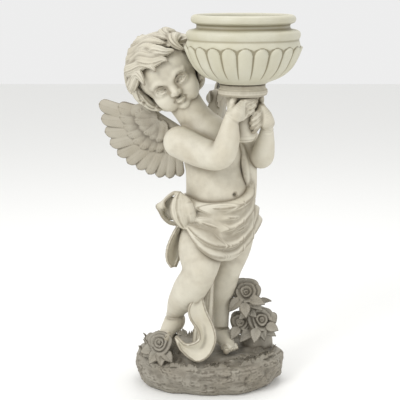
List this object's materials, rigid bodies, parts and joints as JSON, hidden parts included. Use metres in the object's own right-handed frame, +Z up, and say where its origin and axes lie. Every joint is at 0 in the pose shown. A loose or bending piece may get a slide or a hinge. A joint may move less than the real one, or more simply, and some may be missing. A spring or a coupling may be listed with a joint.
{
  "type": "cherub garden statue",
  "caption": "Winged cherub standing on a rocky base, wrapped in drapery, holding up a short pedestal with a separate fluted planter bowl on it.",
  "frame": {"origin": "middle of the base's flat underside", "axes": "+Z up, the front faces -Y, the cherub's right wing reaches out to -X and the bowl stands towards +X"},
  "size_m": [0.3925, 0.4064, 0.74],
  "materials": {
    "statue_stone": "matt cast resin stone with a grey-brown antique wash in its hollows",
    "bowl_stone": "matt cast resin stone with a faint olive wash between its flutes"
  },
  "bodies": {
    "root": {"cherub_statue": "statue_stone", "planter_bowl": "bowl_stone"}
  },
  "joints": []
}
